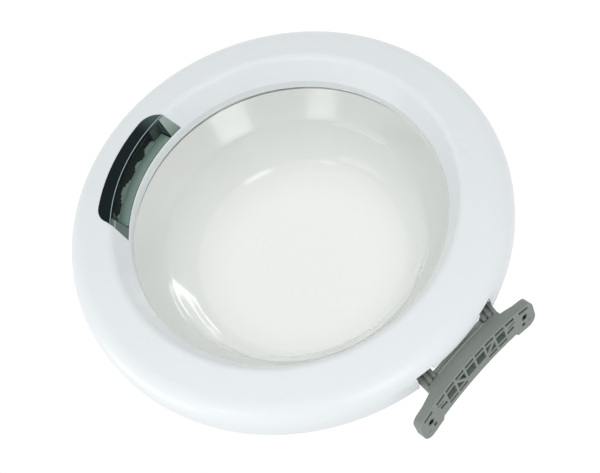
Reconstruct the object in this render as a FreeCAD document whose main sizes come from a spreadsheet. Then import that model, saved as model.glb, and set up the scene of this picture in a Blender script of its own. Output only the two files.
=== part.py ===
"""Front-loader washing machine door: ring, glass bowl, finger grip, hinge and sprung latch.

Millimetres. X points right and Z up on a closed door seen from the front, and the front faces -Y.
The origin lies on the door's axis, in the plane of the front ring's back edge.
A height is a distance in front of that plane, so a point at height d has Y = -d.
Pieces of the hinge and the latch are drawn on the +X side and then turned to their place.
"""
import FreeCAD, Part
import math
import os
import re

import Sketcher
from FreeCAD import Vector

SIZES = [
    ("ring_radius", 225, "outer radius of the door"),
    ("wall", 2.8, "moulded wall of the front ring"),
    ("shoulder_height", 31.3, "outer corner of the ring before it is rounded"),
    ("shoulder_round", 26, "round of that corner"),
    ("outer_band", 49.5, "from the door's edge in to where the ring's outer and inner slopes meet"),
    ("crest_height", 41.2, "height of that meeting line"),
    ("crest_round", 7, "round of the crest"),
    ("inner_band", 13, "from that line in to the opening that shows the glass"),
    ("lip_height", 14, "front edge of the lip"),
    ("lip_foot", 5.5, "back edge of the lip, where it bears on the glass"),
    ("lip_round", 1, "round of the lip's front edge"),
    ("seat_clear", 0.3, "clearance between pieces that sit in one another"),
    ("press_clear", 0.02, "clearance of a pin in the hole that holds it"),
    ("run_clear", 0.05, "radial clearance of a turning pin"),
    ("plate_back", 2, "back face of the rear ring's plate"),
    ("plate_wall", 2.8, "thickness of the rear ring's plate"),
    ("plate_gap", 3.2, "gap between the rear ring and the front ring's wall"),
    ("flange_lap", 6.5, "how far the glass flange reaches under the lip"),
    ("flange_wall", 4, "thickness of the glass flange"),
    ("clamp_wall", 3, "thickness of the rear ring behind the glass flange"),
    ("clamp_width", 1.5, "wall round the glass flange"),
    ("bead_inset", 39, "from the door's edge in to a raised bead round the rear ring"),
    ("bead_width", 5, "width of that bead"),
    ("bead_rise", 1.2, "rise of that bead"),
    ("neck_lap", 1, "how far the outside of the bowl lies under the lip"),
    ("throat_step", 27.5, "from the neck in to where the bowl's mouth turns into its wall"),
    ("throat_depth", 25, "depth of that turn"),
    ("heel_step", 18, "from the throat in to where the bowl's wall turns into its bottom"),
    ("heel_depth", 84, "depth of that turn"),
    ("bowl_depth", 95, "inside depth of the bowl on its axis"),
    ("glass_wall", 5, "thickness of the glass"),
    ("mouth_round", 4, "round of the bowl's mouth"),
    ("throat_round", 24, "round between mouth and wall"),
    ("heel_round", 28, "round between wall and bottom"),
    ("boss_inset", 29, "from the door's edge in to the ring's screw bosses"),
    ("boss_radius", 5, "outside of a screw boss"),
    ("screw_radius", 1.9, "shank of a screw"),
    ("screw_grip", 14, "length of a screw in its boss"),
    ("head_radius", 3.6, "head of a screw"),
    ("head_height", 1.5, "height of a screw head"),
    ("upper_first_angle", 65, "first screw of the upper row"),
    ("lower_first_angle", 215, "first screw of the lower row"),
    ("screw_step", 40, "angle from screw to screw"),
    ("grip_angle", 23.3, "angle of the grip and latch above the horizontal"),
    ("grip_sill_width", 1.2, "width of the ring's lip left inside the window for the grip"),
    ("grip_band", 15.5, "width of that window outside the crest"),
    ("grip_half_length", 70.3, "half length of the window at its inner edge"),
    ("grip_taper", 11.4, "angle at which the window's ends close in"),
    ("grip_corner", 20, "round of the window's outer corners"),
    ("grip_wall", 2.4, "wall of the grip"),
    ("grip_edge_round", 2.5, "round of the grip's edge along the crest"),
    ("grip_floor", 11, "height of the grip's floor at its outer end"),
    ("grip_wedge", 5.4, "angle of the solid wedge at each end of the grip"),
    ("recess_setback", 8.5, "angle by which the recess is shorter behind the crest"),
    ("rim_setback", 10, "angle by which the grip's holding rim is shorter than its recess"),
    ("rim_reach", 2.5, "reach of that rim behind the ring"),
    ("rim_wall", 2.2, "thickness of that rim"),
    ("holder_foot", 6.5, "back face of the latch holder"),
    ("holder_wall", 2.2, "wall of the latch holder"),
    ("holder_setback", 3, "angle by which the holder's curved wall is shorter than the recess"),
    ("holder_half_width", 33, "half width of the holder's base"),
    ("holder_edge", 2.5, "width of the holder's base outside its cheeks"),
    ("tooth_height", 7, "height of the gaps in the curved wall's foot"),
    ("tooth_pitch", 18, "pitch of those gaps"),
    ("tooth_gap", 9, "width of those gaps"),
    ("latch_inset", 21, "from the door's edge in to the latch pin"),
    ("latch_height", 15, "height of the latch pin"),
    ("latch_pin_radius", 2.5, "latch pin"),
    ("cheek_inner", 10, "inner face of the holder's cheeks"),
    ("cheek_wall", 2.5, "thickness of a cheek"),
    ("cheek_half_depth", 7, "half depth of a cheek"),
    ("latch_screw_inset", 25, "from the door's edge in to the holder's screws"),
    ("latch_screw_half_pitch", 26, "half the distance between those screws"),
    ("hook_eye", 5, "round of the hook about its pin"),
    ("hook_half_width", 5, "half width of the hook"),
    ("hook_shank", 6, "depth of the hook's shank"),
    ("hook_reach", 26, "reach of the hook behind the door"),
    ("hook_catch", 15.5, "face of the barb that the lock holds"),
    ("hook_barb", 5, "how far the barb stands out"),
    ("hook_side_gap", 0.4, "side play of the hook and spring"),
    ("hook_window_margin", 5, "room round the hook's shank for its swing"),
    ("clip_radius", 4.6, "outside of a pin clip"),
    ("clip_wall", 1, "thickness of a pin clip"),
    ("pin_overhang", 3, "length of the latch pin past a cheek"),
    ("spring_radius", 3.6, "mean radius of the latch spring"),
    ("wire_radius", 0.45, "wire of the latch spring"),
    ("spring_pitch", 1.05, "pitch of the spring's turns"),
    ("spring_turns", 3, "turns of the spring"),
    ("spring_leg", 8, "legs of the spring"),
    ("open_angle", 100, "how far the door stands open on its hinge"),
    ("hinge_inset", 15, "from the door's edge in to the hinge axis"),
    ("hinge_height", 14.5, "height of the hinge axis"),
    ("hinge_pin_radius", 2.5, "hinge pin"),
    ("bush_wall", 1, "wall of a hinge bush"),
    ("knuckle_wall", 1.4, "wall of an arm's knuckle round its bush"),
    ("arm_place", 42, "middle of an arm from the middle of the leaf"),
    ("arm_width", 16, "width of an arm"),
    ("arm_slot", 2.9, "width of the slots between an arm's fins"),
    ("arm_depth", 6, "depth of an arm at its foot, behind the ridge"),
    ("arm_side_gap", 0.6, "side play of an arm between its ears"),
    ("inner_ear", 5.5, "ear of the carrier on an arm's inner side"),
    ("outer_ear", 4, "ear of the carrier on an arm's outer side"),
    ("ear_radius", 4.2, "round of an ear about the pin"),
    ("carrier_foot", 8, "back face of the hinge carrier's plate"),
    ("carrier_wall", 3, "thickness of that plate"),
    ("carrier_gap", 10.5, "from the hinge axis in to that plate"),
    ("carrier_width", 21.5, "width of that plate"),
    ("carrier_notch", 8.5, "depth of the notches in that plate, beside the arms"),
    ("carrier_half_length", 60, "half length of that plate"),
    ("carrier_screw_inset", 8, "from the plate's inner edge to its screws"),
    ("carrier_screw_inner", 17, "place of the carrier's inner screws along the hinge"),
    ("carrier_screw_outer", 52, "place of the carrier's outer screws along the hinge"),
    ("notch_margin", 1.3, "room at each side of an arm in the ring's notch"),
    ("notch_height", 19.5, "height of the notches in the ring's rim"),
    ("notch_reach", 24, "from the hinge axis in to the end of the rear ring's cut-out"),
    ("relief_height", 16.5, "height of the cut-back rim between the notches"),
    ("relief_depth", 12, "depth of that cut-back"),
    ("leaf_face", -14.8, "mounting face of the leaf on a closed door"),
    ("leaf_thickness", 12.5, "thickness of the leaf"),
    ("leaf_inset", 6.8, "from the hinge axis in to the leaf's hinge-side edge"),
    ("leaf_width", 32.4, "width of the leaf at its middle"),
    ("leaf_half_length", 80, "half length of the leaf"),
    ("leaf_hinge_round", 215, "curve of the leaf's hinge-side edge"),
    ("leaf_free_round", 275, "curve of the leaf's free edge"),
    ("leaf_end_round", 9, "round of the leaf's corners"),
    ("leaf_wall", 2.6, "wall between the leaf's pockets and its hinge-side edge"),
    ("leaf_free_wall", 5, "wall between the pockets and the free edge"),
    ("leaf_rib", 2.4, "rib between pockets"),
    ("leaf_pocket", 6, "depth of the pockets"),
    ("leaf_cell", 14, "pitch of the pockets along the leaf"),
    ("leaf_slot", 4.2, "width of the row of slots beside the hinge-side edge"),
    ("leaf_thin_slot", 3.4, "width of the row of slots beside the free edge"),
    ("foot_thickness", 9, "thickness of the leaf's feet"),
    ("foot_length", 16, "length of a foot at that thickness"),
    ("foot_slope", 24, "length of the slope up from a foot to the full thickness"),
    ("foot_step", 4.5, "how far a foot steps out past the free edge"),
    ("ridge_rise", 2.8, "how far the ridge stands above the leaf's back"),
    ("ridge_wall", 3, "thickness of the ridge"),
    ("web_foot", 7.1, "from the hinge-side edge in to the foot of the web between the arms"),
    ("web_top", 3.9, "from the hinge-side edge in to the top of that web"),
    ("web_wall", 2.5, "thickness of that web"),
    ("web_gap", 1, "gap between that web and the carrier"),
    ("sleeve_setback", 13, "from the end of the leaf in to a mounting hole"),
    ("sleeve_inset", 15.2, "from the leaf's hinge-side edge in to a mounting hole"),
    ("sleeve_bore", 2.75, "hole for a mounting screw"),
    ("sleeve_wall", 1.4, "wall of the steel sleeve in that hole"),
]

DERIVED = [
    ("crest_radius", "ring_radius - outer_band"),
    ("lip_radius", "crest_radius - inner_band"),
    ("plate_radius", "ring_radius - wall - plate_gap"),
    ("flange_radius", "lip_radius + flange_lap"),
    ("bead_radius", "ring_radius - bead_inset"),
    ("neck_radius", "lip_radius + neck_lap"),
    ("throat_radius", "neck_radius - throat_step"),
    ("heel_radius", "throat_radius - heel_step"),
    ("boss_circle", "ring_radius - boss_inset"),
    ("grip_inner", "lip_radius + grip_sill_width"),
    ("grip_outer", "crest_radius + grip_band"),
    ("recess_angle", "2 * (asin(grip_half_length / grip_inner) / 1deg - grip_wedge)"),
    ("recess_outer_angle", "recess_angle - recess_setback"),
    ("rim_angle", "recess_angle - rim_setback"),
    ("holder_angle", "recess_angle - holder_setback"),
    ("latch_radius", "ring_radius - latch_inset"),
    ("latch_screw_radius", "ring_radius - latch_screw_inset"),
    ("hinge_radius", "ring_radius - hinge_inset"),
    ("carrier_outer", "hinge_radius - carrier_gap"),
    ("carrier_inner", "carrier_outer - carrier_width"),
    ("carrier_screw_radius", "carrier_inner + carrier_screw_inset"),
    ("notch_inner", "hinge_radius - notch_reach"),
    ("relief_inner", "ring_radius - relief_depth"),
    ("leaf_line", "hinge_radius - leaf_inset"),
    ("sleeve_place", "leaf_half_length - sleeve_setback"),
    ("foot_start", "leaf_half_length - foot_length"),
    ("sleeve_radius",
     "leaf_line - leaf_hinge_round + sqrt(leaf_hinge_round ^ 2 - sleeve_place ^ 2) - sleeve_inset"),
    ("outer_slope", "(crest_height - shoulder_height) / (ring_radius - crest_radius)"),
    ("outer_drop", "wall * sqrt(1 + outer_slope ^ 2)"),
    ("inner_lean", "(crest_radius - lip_radius) / (crest_height - lip_height)"),
    ("inner_shift", "wall * sqrt(1 + inner_lean ^ 2)"),
    ("hollow_radius", "ring_radius - wall"),
    ("hollow_shoulder", "shoulder_height + outer_slope * wall - outer_drop"),
    ("hollow_rise", "shoulder_height - outer_drop + ring_radius * outer_slope - lip_height"),
    ("hollow_crest_radius",
     "(lip_radius + inner_shift + hollow_rise * inner_lean) / (1 + outer_slope * inner_lean)"),
    ("hollow_crest_height", "lip_height + hollow_rise - hollow_crest_radius * outer_slope"),
    ("lip_outer", "lip_radius + wall"),
    ("hollow_lip", "lip_height + (wall - inner_shift) / inner_lean"),
    ("plate_front", "plate_back + plate_wall"),
    ("flange_back", "lip_foot - flange_wall"),
    ("clamp_back", "flange_back - clamp_wall"),
    ("clamp_outer", "flange_radius + seat_clear + clamp_width"),
    ("mouth_lean", "(neck_radius - glass_wall / 2 - throat_radius) / (throat_depth + lip_foot)"),
    ("mouth_radius", "throat_radius + mouth_lean * (throat_depth + lip_foot)"),
    ("pilot_radius", "screw_radius + press_clear"),
    ("shank_hole", "screw_radius + seat_clear"),
    ("grip_face_inner", "grip_inner + seat_clear"),
    ("grip_face_outer", "grip_outer - seat_clear"),
    ("grip_sill", "lip_height + (grip_face_inner - lip_radius) / inner_lean"),
    ("grip_top", "shoulder_height + (ring_radius - grip_face_outer) * outer_slope"),
    ("grip_under", "lip_height + seat_clear"),
    ("grip_drop", "grip_wall * sqrt(1 + outer_slope ^ 2)"),
    ("recess_radius", "grip_face_outer - grip_wall"),
    ("recess_top", "shoulder_height + (ring_radius - recess_radius) * outer_slope - grip_drop"),
    ("recess_edge", "crest_height - grip_wall - grip_drop / 2"),
    ("rim_top", "shoulder_height + (ring_radius - grip_outer - rim_reach) * outer_slope - outer_drop - seat_clear"),
    ("holder_inner", "grip_face_outer + seat_clear"),
    ("holder_outer", "holder_inner + holder_wall"),
    ("holder_top", "rim_top - rim_wall"),
    ("holder_base", "holder_foot + holder_wall"),
    ("latch_hole", "latch_pin_radius + press_clear"),
    ("cheek_outer", "cheek_inner + cheek_wall"),
    ("spring_start", "hook_half_width + hook_side_gap + wire_radius"),
    ("bush_bore", "hinge_pin_radius + run_clear"),
    ("bush_radius", "bush_bore + bush_wall"),
    ("knuckle_bore", "bush_radius + press_clear"),
    ("knuckle_radius", "knuckle_bore + knuckle_wall"),
    ("ear_hole", "hinge_pin_radius + press_clear"),
    ("arm_start", "arm_place - arm_width / 2"),
    ("arm_end", "arm_place + arm_width / 2"),
    ("arm_fin", "(arm_width - 2 * arm_slot) / 3"),
    ("ear_start", "arm_start - arm_side_gap - inner_ear"),
    ("ear_end", "arm_end + arm_side_gap + outer_ear"),
    ("carrier_base", "carrier_foot + carrier_wall"),
    ("leaf_back", "leaf_face + leaf_thickness"),
    ("leaf_free", "leaf_line - leaf_width"),
    ("sleeve_outer", "sleeve_bore + sleeve_wall"),
]

SHEET = "Sizes"
NAMES = {entry[0] for entry in SIZES} | {entry[0] for entry in DERIVED}

doc = FreeCAD.newDocument("washing_machine_door")
sheet = doc.addObject("Spreadsheet::Sheet", SHEET)
for row, (name, number, meaning) in enumerate(SIZES, start=1):
    sheet.set(f"A{row}", meaning)
    sheet.set(f"B{row}", str(number))
    sheet.setAlias(f"B{row}", name)
for row, (name, formula) in enumerate(DERIVED, start=len(SIZES) + 1):
    sheet.set(f"A{row}", name)
    sheet.set(f"B{row}", "=" + formula)
    sheet.setAlias(f"B{row}", name)
doc.recompute()


def bound(text):
    """Point the size names in a formula at the sheet."""
    return re.sub(r"[a-z_]+", lambda word: SHEET + "." + word[0] if word[0] in NAMES else word[0], text)


def value(text):
    """Work a formula out from the sheet."""
    return float(sheet.evalExpression(bound(text)))


def new_body(label):
    body = doc.addObject("PartDesign::Body", label)
    body.Label = label
    return body


def new_sketch(body, role, height="0"):
    """Put a sketch on one of the body's own planes, or a height along that plane's normal."""
    plane = next(feature for feature in body.Origin.OriginFeatures if feature.Role == role)
    sketch = body.newObject("Sketcher::SketchObject", "Sketch")
    sketch.AttachmentSupport = (plane, [""])
    sketch.MapMode = "FlatFace"
    if height != "0":
        sketch.setExpression("AttachmentOffset.Base.z", bound(height))
    return sketch


def hold(sketch, kind, piece, end, text):
    """Hold one coordinate of a point to a formula, counted from the sketch's origin."""
    if text == "0":
        axis = -2 if kind == "DistanceX" else -1
        sketch.addConstraint(Sketcher.Constraint("PointOnObject", piece, end, axis))
        return
    index = sketch.addConstraint(Sketcher.Constraint(kind, -1, 1, piece, end, value(text)))
    sketch.setExpression(f"Constraints[{index}]", bound(text))


def set_radius(sketch, piece, text):
    index = sketch.addConstraint(Sketcher.Constraint("Radius", piece, value(text)))
    sketch.setExpression(f"Constraints[{index}]", bound(text))


def arc_between(start, end, radius, turn):
    """Give the shorter arc from start to end that turns left or right."""
    chord = end - start
    left = Vector(-chord.y, chord.x, 0).normalize()
    rise = math.sqrt(radius ** 2 - chord.Length ** 2 / 4)
    centre = (start + end) * 0.5 + left * (rise if turn == "left" else -rise)
    first, last = (start, end) if turn == "left" else (end, start)
    angles = [math.atan2(point.y - centre.y, point.x - centre.x) for point in (first, last)]
    return Part.ArcOfCircle(Part.Circle(centre, Vector(0, 0, 1), radius), *angles)


def rounded(before, corner, after, radius):
    """Give the ends of the round that takes the place of a corner, and the way it turns."""
    back = (before - corner).normalize()
    ahead = (after - corner).normalize()
    reach = radius / math.tan(back.getAngle(ahead) / 2)
    turn = "left" if ahead.cross(back).z > 0 else "right"
    return corner + back * reach, corner + ahead * reach, turn


def draw_path(sketch, corners):
    """Draw a closed outline through corners (x, y).

    A corner (x, y, radius) is rounded. A corner (x, y, radius, turn) is sharp and reached by an arc
    that turns left or right. Any other stretch of the outline is straight.
    """
    count = len(corners)
    points = [Vector(value(corner[0]), value(corner[1]), 0) for corner in corners]
    rounds = {}
    for index, corner in enumerate(corners):
        if len(corner) == 3:
            neighbours = points[index - 1], points[index], points[(index + 1) % count]
            rounds[index] = rounded(*neighbours, value(corner[2]))
    pieces = []
    for index in range(count):
        following = (index + 1) % count
        start = rounds[index][1] if index in rounds else points[index]
        end = rounds[following][0] if following in rounds else points[following]
        goal = corners[following]
        if len(goal) < 4:
            pieces.append((sketch.addGeometry(Part.LineSegment(start, end)), 1, 2))
            continue
        piece = sketch.addGeometry(arc_between(start, end, value(goal[2]), goal[3]))
        set_radius(sketch, piece, goal[2])
        pieces.append((piece, 1, 2) if goal[3] == "left" else (piece, 2, 1))
    for index, corner in enumerate(corners):
        before, _, finish = pieces[index - 1]
        after, begin, _ = pieces[index]
        if index in rounds:
            draw_round(sketch, corner, rounds[index], before, after)
            continue
        sketch.addConstraint(Sketcher.Constraint("Coincident", before, finish, after, begin))
        hold(sketch, "DistanceX", after, begin, corner[0])
        hold(sketch, "DistanceY", after, begin, corner[1])


def draw_round(sketch, corner, ends, before, after):
    """Round the corner between two lines, and keep the corner itself as a point that they aim at."""
    start, end, turn = ends
    piece = sketch.addGeometry(arc_between(start, end, value(corner[2]), turn))
    first, last = (1, 2) if turn == "left" else (2, 1)
    sketch.addConstraint(Sketcher.Constraint("Tangent", before, 2, piece, first))
    sketch.addConstraint(Sketcher.Constraint("Tangent", piece, last, after, 1))
    set_radius(sketch, piece, corner[2])
    aim = sketch.addGeometry(Part.Point(Vector(value(corner[0]), value(corner[1]), 0)), True)
    sketch.addConstraint(Sketcher.Constraint("PointOnObject", aim, 1, before))
    sketch.addConstraint(Sketcher.Constraint("PointOnObject", aim, 1, after))
    hold(sketch, "DistanceX", aim, 1, corner[0])
    hold(sketch, "DistanceY", aim, 1, corner[1])


def draw_box(sketch, low_x, high_x, low_y, high_y):
    draw_path(sketch, [(low_x, low_y), (high_x, low_y), (high_x, high_y), (low_x, high_y)])


def draw_circle(sketch, x, y, radius):
    circle = Part.Circle(Vector(value(x), value(y), 0), Vector(0, 0, 1), value(radius))
    piece = sketch.addGeometry(circle)
    set_radius(sketch, piece, radius)
    hold(sketch, "DistanceX", piece, 3, x)
    hold(sketch, "DistanceY", piece, 3, y)


def revolve(body, sketch, angle="360"):
    """Turn a profile about the door's axis, evenly to both sides of its plane."""
    feature = body.newObject("PartDesign::Revolution", "Revolution")
    feature.Profile = sketch
    feature.ReferenceAxis = (sketch, ["V_Axis"])
    feature.Midplane = True
    feature.setExpression("Angle", bound(angle))
    doc.recompute()
    return feature


def groove(body, sketch, angle="360"):
    """Cut a profile out round the door's axis, evenly to both sides of its plane."""
    before = body.Shape.Volume
    feature = body.newObject("PartDesign::Groove", "Groove")
    feature.Profile = sketch
    feature.ReferenceAxis = (sketch, ["V_Axis"])
    feature.Midplane = True
    feature.setExpression("Angle", bound(angle))
    doc.recompute()
    if body.Shape.Volume >= before:
        raise ValueError(f"a groove in {body.Label} cuts nothing")
    return feature


def pad(body, sketch, length, symmetric=False):
    """Raise a sketch along its normal, or evenly to both sides."""
    feature = body.newObject("PartDesign::Pad", "Pad")
    feature.Profile = sketch
    feature.SideType = "Symmetric" if symmetric else "One side"
    feature.setExpression("Length", bound(length))
    doc.recompute()
    return feature


def pocket(body, sketch, length, symmetric=False):
    """Cut a sketch out along its normal, or evenly to both sides."""
    before = body.Shape.Volume
    feature = body.newObject("PartDesign::Pocket", "Pocket")
    feature.Profile = sketch
    feature.SideType = "Symmetric" if symmetric else "One side"
    feature.Reversed = not symmetric
    feature.setExpression("Length", bound(length))
    doc.recompute()
    if body.Shape.Volume >= before:
        raise ValueError(f"a pocket in {body.Label} cuts nothing")
    return feature


def mirror(body, features):
    """Repeat features on the other side of the body's XY plane."""
    plane = next(feature for feature in body.Origin.OriginFeatures if feature.Role == "XY_Plane")
    feature = body.newObject("PartDesign::Mirrored", "Mirrored")
    feature.Originals = features
    feature.MirrorPlane = (plane, [""])
    body.Tip = feature
    doc.recompute()
    return feature


def round_edges(body, names, radius):
    base = body.Tip
    feature = body.newObject("PartDesign::Fillet", "Fillet")
    feature.Base = (base, names)
    feature.setExpression("Radius", bound(radius))
    doc.recompute()
    return feature


def at_grip(piece):
    """Turn a piece drawn on the +X side to the angle of the grip."""
    turn = "placement(vector(0; 0; 0); vector(0; 1; 0); -grip_angle)"
    piece.setExpression("Placement", bound(turn))


HINGE_TURN = "placement(vector(0; 0; 0); vector(0; 1; 0); 180)"
LEAF_TURN = (
    " * placement(vector(hinge_radius; -hinge_height; 0); vector(0; 0; 1); -open_angle)"
    " * placement(vector(-hinge_radius; hinge_height; 0); vector(0; 0; 1); 0)"
)


def at_hinge(piece):
    """Turn a piece drawn on the +X side to the hinge side of the door."""
    piece.setExpression("Placement", bound(HINGE_TURN))


def at_leaf(piece):
    """Turn a piece drawn in its place on a closed door to where it stands with the door open."""
    piece.setExpression("Placement", bound(HINGE_TURN + LEAF_TURN))


def polar(radius, angle):
    return (f"{radius} * cos({angle})", f"{radius} * sin({angle})")


def rear_screw_places():
    """Places of the rear ring's screws, clear of the hinge and the latch."""
    upper = [f"upper_first_angle + {step} * screw_step" for step in range(3)]
    lower = [f"lower_first_angle + {step} * screw_step" for step in range(4)]
    return [polar("boss_circle", angle) for angle in upper + lower]


def carrier_screw_places():
    places = ["carrier_screw_inner", "carrier_screw_outer"]
    return [("carrier_screw_radius", side + place) for place in places for side in ("", "-")]


def latch_screw_places():
    return [("latch_screw_radius", side + "latch_screw_half_pitch") for side in ("", "-")]


def turned(places, angle):
    """Turn places drawn on the +X side about the door's axis."""
    across = [f"({x}) * cos({angle}) - ({y}) * sin({angle})" for x, y in places]
    along = [f"({x}) * sin({angle}) + ({y}) * cos({angle})" for x, y in places]
    return list(zip(across, along))


def shell_middle(reach):
    """Height of the middle of the ring's outer slope at a distance from the door's axis."""
    return f"(shoulder_height + (ring_radius - {reach}) * outer_slope - wall / 2)"


def draw_circles(body, height, places, radius):
    sketch = new_sketch(body, "XZ_Plane", height)
    for x, y in places:
        draw_circle(sketch, x, y, radius)
    return sketch


def add_bosses(body, places, foot, top):
    """Raise screw bosses from their foot into the ring's shell, and bore them."""
    pad(body, draw_circles(body, foot, places, "boss_radius"), f"{top} - ({foot})")
    pocket(body, draw_circles(body, foot, places, "pilot_radius"), "screw_grip")


def draw_window(sketch, margin):
    """Draw the grip's outline, smaller by a margin all round, on the +X side."""
    inner = value(f"grip_inner + {margin}")
    outer = value(f"grip_outer - {margin}")
    half = value(f"grip_half_length - {margin}")
    corner = value(f"grip_corner - {margin}")
    lean = math.radians(value("grip_taper"))
    start = Vector(math.sqrt(inner ** 2 - half ** 2), half, 0)
    along = Vector(math.cos(lean), -math.sin(lean), 0)
    inward = Vector(-math.sin(lean), -math.cos(lean), 0)
    offset = start + inward * corner
    run = -offset.dot(along) + math.sqrt(offset.dot(along) ** 2 - offset.Length ** 2 + (outer - corner) ** 2)
    centre = offset + along * run
    line_end = start + along * run
    arc_end = centre * (outer / (outer - corner))

    def flipped(point):
        return Vector(point.x, -point.y, 0)

    def angle_at(point, middle):
        return math.atan2(point.y - middle.y, point.x - middle.x)

    origin = Vector(0, 0, 0)
    up = Vector(0, 0, 1)
    spread = angle_at(start, origin)
    reach = angle_at(arc_end, origin)
    low_centre = flipped(centre)
    corner_low = angle_at(arc_end, centre)
    corner_high = angle_at(line_end, centre)
    base = sketch.addGeometry(Part.ArcOfCircle(Part.Circle(origin, up, inner), -spread, spread))
    high_side = sketch.addGeometry(Part.LineSegment(start, line_end))
    high_corner = sketch.addGeometry(Part.ArcOfCircle(Part.Circle(centre, up, corner), corner_low, corner_high))
    top = sketch.addGeometry(Part.ArcOfCircle(Part.Circle(origin, up, outer), -reach, reach))
    low_corner = sketch.addGeometry(
        Part.ArcOfCircle(Part.Circle(low_centre, up, corner), -corner_high, -corner_low))
    low_side = sketch.addGeometry(Part.LineSegment(flipped(start), flipped(line_end)))

    def add(*parts):
        return sketch.addConstraint(Sketcher.Constraint(*parts))

    add("Coincident", base, 3, -1, 1)
    add("Coincident", top, 3, -1, 1)
    add("Coincident", base, 2, high_side, 1)
    add("Coincident", base, 1, low_side, 1)
    add("Symmetric", base, 2, base, 1, -1)
    add("Tangent", high_side, 2, high_corner, 2)
    add("Tangent", high_corner, 1, top, 2)
    add("Tangent", low_side, 2, low_corner, 1)
    add("Tangent", low_corner, 2, top, 1)
    add("Symmetric", high_side, 2, low_side, 2, -1)
    set_radius(sketch, base, f"grip_inner + {margin}")
    set_radius(sketch, top, f"grip_outer - {margin}")
    set_radius(sketch, high_corner, f"grip_corner - {margin}")
    hold(sketch, "DistanceY", base, 2, f"grip_half_length - {margin}")
    index = add("Angle", -1, 1, high_side, 1, -lean)
    sketch.setExpression(f"Constraints[{index}]", bound("-grip_taper"))


def make_front_ring():
    body = new_body("front_ring")
    profile = new_sketch(body, "XY_Plane")
    draw_path(profile, [
        ("ring_radius", "0"),
        ("ring_radius", "-shoulder_height", "shoulder_round"),
        ("crest_radius", "-crest_height", "crest_round"),
        ("lip_radius", "-lip_height", "lip_round"),
        ("lip_radius", "-lip_foot"),
        ("lip_outer", "-lip_foot"),
        ("lip_outer", "-hollow_lip"),
        ("hollow_crest_radius", "-hollow_crest_height", "crest_round - wall"),
        ("hollow_radius", "-hollow_shoulder", "shoulder_round - wall"),
        ("hollow_radius", "0"),
    ])
    revolve(body, profile)
    add_bosses(body, rear_screw_places(), "plate_front", shell_middle("boss_circle"))
    for place in ("carrier_screw_inner", "carrier_screw_outer"):
        places = turned([("carrier_screw_radius", place), ("carrier_screw_radius", "-" + place)], "180")
        reach = f"sqrt(carrier_screw_radius ^ 2 + {place} ^ 2)"
        add_bosses(body, places, "carrier_base", shell_middle(reach))
    latch_reach = "sqrt(latch_screw_radius ^ 2 + latch_screw_half_pitch ^ 2)"
    add_bosses(body, turned(latch_screw_places(), "grip_angle"), "holder_base", shell_middle(latch_reach))
    window = new_sketch(body, "XZ_Plane", "lip_height")
    window.setExpression("AttachmentOffset.Rotation.Angle", bound("grip_angle"))
    draw_window(window, "0")
    pocket(body, window, "crest_height")
    notches = new_sketch(body, "XZ_Plane")
    for side in ("", "-"):
        near = f"{side}(arm_start - notch_margin)"
        far = f"{side}(arm_end + notch_margin)"
        draw_box(notches, "-(ring_radius + wall)", "-carrier_outer", near, far)
    pocket(body, notches, "notch_height")
    relief = new_sketch(body, "XZ_Plane")
    edge = "(arm_end + notch_margin)"
    draw_box(relief, "-(ring_radius + wall)", "-relief_inner", "-" + edge, edge)
    pocket(body, relief, "relief_height")
    return body


def make_rear_ring():
    body = new_body("rear_ring")
    profile = new_sketch(body, "XY_Plane")
    clamp_inner = "(neck_radius + seat_clear)"
    draw_path(profile, [
        (clamp_inner, "-clamp_back"),
        ("clamp_outer", "-clamp_back"),
        ("clamp_outer + clamp_width", "-plate_back"),
        ("bead_radius - bead_width / 2", "-plate_back"),
        ("bead_radius", "-(plate_back - bead_rise)"),
        ("bead_radius + bead_width / 2", "-plate_back"),
        ("plate_radius", "-plate_back"),
        ("plate_radius", "-plate_front"),
        ("flange_radius + seat_clear", "-plate_front"),
        ("flange_radius + seat_clear", "-flange_back"),
        (clamp_inner, "-flange_back"),
    ])
    revolve(body, profile)
    pocket_from = "clamp_back"
    through = "plate_front - clamp_back"
    pocket(body, draw_circles(body, pocket_from, rear_screw_places(), "shank_hole"), through)
    openings = new_sketch(body, "XZ_Plane", pocket_from)
    edge = "(arm_end + notch_margin)"
    rim = "-(ring_radius + wall)"
    draw_box(openings, rim, "-notch_inner", "-" + edge, edge)
    pocket(body, openings, through)
    hook = new_sketch(body, "XZ_Plane", pocket_from)
    hook.setExpression("AttachmentOffset.Rotation.Angle", bound("grip_angle"))
    draw_box(hook, "latch_radius - hook_shank / 2 - hook_window_margin",
             "latch_radius + hook_shank / 2 + hook_window_margin",
             "-(hook_half_width + hook_window_margin)", "hook_half_width + hook_window_margin")
    pocket(body, hook, through)
    return body


def make_glass_bowl():
    body = new_body("glass_bowl")
    profile = new_sketch(body, "XY_Plane")
    draw_path(profile, [
        ("0", "bowl_depth"),
        ("heel_radius", "heel_depth", "heel_round"),
        ("throat_radius", "throat_depth", "throat_round"),
        ("mouth_radius", "-lip_foot", "mouth_round"),
        ("flange_radius", "-lip_foot"),
        ("flange_radius", "-flange_back"),
        ("neck_radius", "-flange_back"),
        ("throat_radius + glass_wall", "throat_depth + glass_wall / 2", "throat_round + glass_wall"),
        ("heel_radius + glass_wall", "heel_depth + glass_wall", "heel_round + glass_wall"),
        ("0", "bowl_depth + glass_wall"),
    ])
    revolve(body, profile)
    return body


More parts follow.
